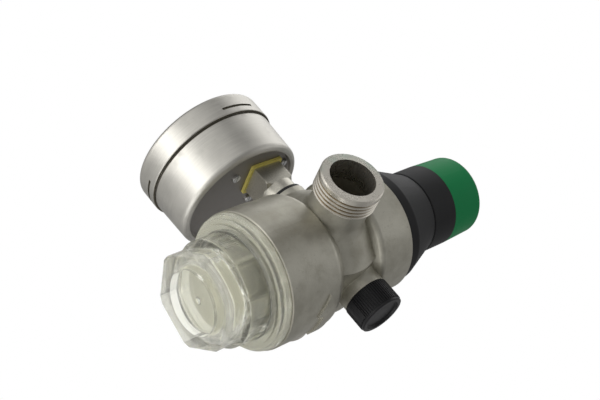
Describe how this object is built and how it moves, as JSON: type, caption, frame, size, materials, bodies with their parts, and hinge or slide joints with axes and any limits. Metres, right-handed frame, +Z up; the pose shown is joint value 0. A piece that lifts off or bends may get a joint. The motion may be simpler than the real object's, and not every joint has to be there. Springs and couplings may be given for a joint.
{
  "type": "pressure reducing valve",
  "caption": "Water pressure reducing valve with threaded pipe ends, spring bonnet and knob, clear filter bowl, blanking plug and a side pressure gauge.",
  "frame": {"origin": "centre of the inlet end face, on the pipe axis", "axes": "+X along the flow from inlet to outlet, +Z up the spring bonnet, +Y towards the blanking plug with the gauge on the -Y side"},
  "size_m": [0.09, 0.1129, 0.15],
  "materials": {
    "cast_body": "satin nickel finish over a cast surface",
    "black_plastic": "matte moulded",
    "plug_plastic": "moulded",
    "green_plastic": "satin moulded",
    "grey_plastic": "moulded",
    "yellow_plastic": "flat gasket",
    "clear_plastic": "clear moulded",
    "window": "flat polished",
    "gauge_steel": "brushed",
    "socket_metal": "machined",
    "steel": "machined",
    "steel_mesh": "woven mesh",
    "spring_steel": "drawn wire",
    "brass": "machined",
    "copper_alloy": "drawn tube",
    "rubber": "moulded",
    "dial_white": "matt enamel",
    "pointer_black": "matt enamel"
  },
  "bodies": {
    "housing": {"housing": "cast_body", "spring_bonnet": "black_plastic", "slip_ring": "steel", "valve_insert": "brass", "seat_ring": "steel", "insert_o_ring": "rubber", "stem_o_ring": "rubber", "filter_screen": "steel_mesh", "filter_cage": "grey_plastic", "diaphragm": "rubber", "adjusting_spring": "spring_steel", "thrust_washer": "brass", "gauge_seal": "rubber", "gauge_socket": "socket_metal", "socket_gasket": "yellow_plastic", "gauge_case": "gauge_steel", "case_screws": "steel", "gauge_bezel": "gauge_steel", "gauge_window": "window", "window_gasket": "rubber", "gauge_dial": "dial_white", "dial_screws": "brass", "movement_rear_plate": "brass", "movement_front_plate": "brass", "movement_pillars": "brass", "bourdon_tube": "copper_alloy", "tube_tip": "brass", "hairspring": "spring_steel"},
    "knob": {"adjusting_knob": "black_plastic", "knob_cap": "green_plastic", "knob_screw": "steel", "adjusting_spindle": "steel"},
    "spring_plate": {"spring_plate": "steel"},
    "stem": {"valve_stem": "steel", "valve_disc": "brass", "disc_seal": "rubber", "disc_screw": "steel", "diaphragm_washer": "steel", "diaphragm_plate": "steel", "diaphragm_nut": "steel"},
    "bowl_seal": {"bowl_o_ring": "rubber"},
    "bowl": {"filter_bowl": "clear_plastic"},
    "plug_seal": {"plug_o_ring": "rubber"},
    "plug": {"blanking_plug": "plug_plastic"},
    "sector": {"sector_gear": "brass"},
    "link": {"sector_link": "brass"},
    "pointer": {"pinion_arbor": "steel", "gauge_pointer": "pointer_black"}
  },
  "joints": [
    {"name": "knob_turn", "type": "hinge", "parent": "housing", "child": "knob", "pos_m": [0.045, 0, 0.056], "axis": [0, 0, 1], "range_deg": [-1441, 0]},
    {"name": "plate_travel", "type": "slide", "parent": "housing", "child": "spring_plate", "axis": [0, 0, 1], "range_m": [-0.006, 0], "deforming": ["adjusting_spring"]},
    {"name": "stem_travel", "type": "slide", "parent": "housing", "child": "stem", "axis": [0, 0, 1], "range_m": [0, 0.00145], "stiffness_N_per_m": 3000, "springref_m": -0.001, "deforming": ["diaphragm"]},
    {"name": "bowl_turn", "type": "hinge", "parent": "bowl_seal", "child": "bowl", "pos_m": [0.045, 0, -0.04], "axis": [0, 0, -1], "range_deg": [0, 1801]},
    {"name": "bowl_travel", "type": "slide", "parent": "housing", "child": "bowl_seal", "axis": [0, 0, -1], "range_m": [0, 0.01]},
    {"name": "plug_turn", "type": "hinge", "parent": "plug_seal", "child": "plug", "pos_m": [0.045, 0.03, 0.0056], "axis": [0, 1, 0], "range_deg": [0, 2532]},
    {"name": "plug_travel", "type": "slide", "parent": "housing", "child": "plug_seal", "axis": [0, 1, 0], "range_m": [0, 0.0094]},
    {"name": "sector_turn", "type": "hinge", "parent": "housing", "child": "sector", "pos_m": [0.03048, -0.0545, -0.01053], "axis": [0, -1, 0], "range_deg": [0, 33.8]},
    {"name": "pointer_turn", "type": "hinge", "parent": "housing", "child": "pointer", "pos_m": [0.0365, -0.055, -0.00384], "axis": [0, 1, 0], "range_deg": [0, 270.3]},
    {"name": "link_travel", "type": "slide", "parent": "housing", "child": "link", "axis": [0.7431, 0, -0.6691], "range_m": [0, 0.00267], "stiffness_N_per_m": 1000}
  ],
  "couplings": [
    {"joint": "knob_turn", "follows": "plate_travel", "rad_per_m": 4188.8},
    {"joint": "bowl_turn", "follows": "bowl_travel", "rad_per_m": 3141.6},
    {"joint": "plug_turn", "follows": "plug_travel", "rad_per_m": 4699.5},
    {"joint": "sector_turn", "follows": "link_travel", "rad_per_m": 220.57},
    {"joint": "pointer_turn", "follows": "link_travel", "rad_per_m": 1764.5}
  ]
}
